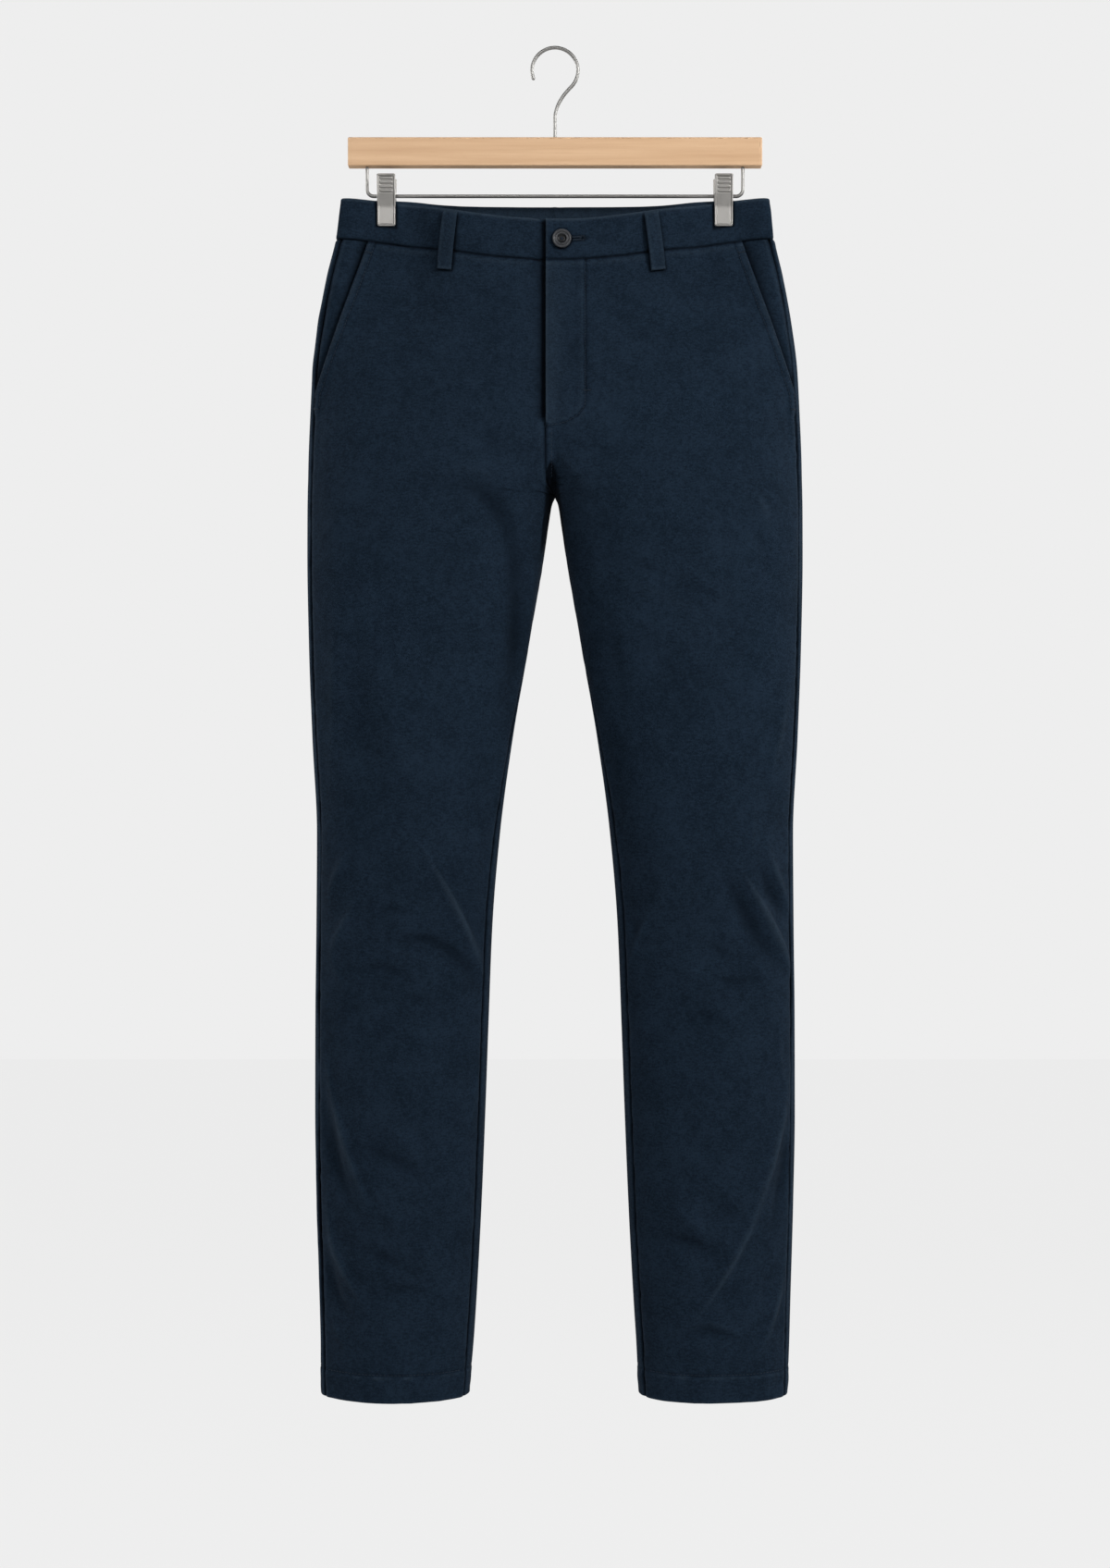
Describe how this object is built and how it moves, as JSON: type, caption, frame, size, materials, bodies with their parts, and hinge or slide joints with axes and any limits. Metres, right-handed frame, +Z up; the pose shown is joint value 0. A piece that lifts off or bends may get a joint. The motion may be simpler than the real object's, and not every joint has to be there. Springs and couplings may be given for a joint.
{
  "type": "trousers on a clip hanger",
  "caption": "Slim cotton twill trousers with slant pockets, button waist and zip fly, hung by the waistband from a wooden bar hanger with metal clips.",
  "frame": {"origin": "highest point inside the crook of the hanger's hook, where a rail carries it", "axes": "+Z up, the front of the trousers faces -Y, the wearer's left is +X"},
  "size_m": [0.4442, 0.123, 1.2076],
  "materials": {
    "navy_twill": "brushed cotton twill, matt",
    "fly_zip_tape": "woven tape, matt",
    "button_dark": "dark horn-like resin, satin",
    "beech": "clear matt lacquer",
    "clip_steel": "satin nickel"
  },
  "bodies": {
    "root": {"front_left": "navy_twill", "front_right": "navy_twill", "back_left": "navy_twill", "back_right": "navy_twill", "pocket_facing_left": "navy_twill", "pocket_facing_right": "navy_twill", "waistband_left": "navy_twill", "waistband_right": "navy_twill", "fly_shield": "navy_twill", "fly_zip": "fly_zip_tape", "belt_loop_front_left": "navy_twill", "belt_loop_front_right": "navy_twill", "belt_loop_back_left": "navy_twill", "belt_loop_back_right": "navy_twill", "belt_loop_centre_back": "navy_twill", "waist_button": "button_dark", "hanger_bar": "beech", "hanger_hook": "clip_steel", "clip_rod": "clip_steel", "clip_left_front_jaw": "clip_steel", "clip_left_back_jaw": "clip_steel", "clip_left_spring": "clip_steel", "clip_right_front_jaw": "clip_steel", "clip_right_back_jaw": "clip_steel", "clip_right_spring": "clip_steel"}
  },
  "joints": []
}
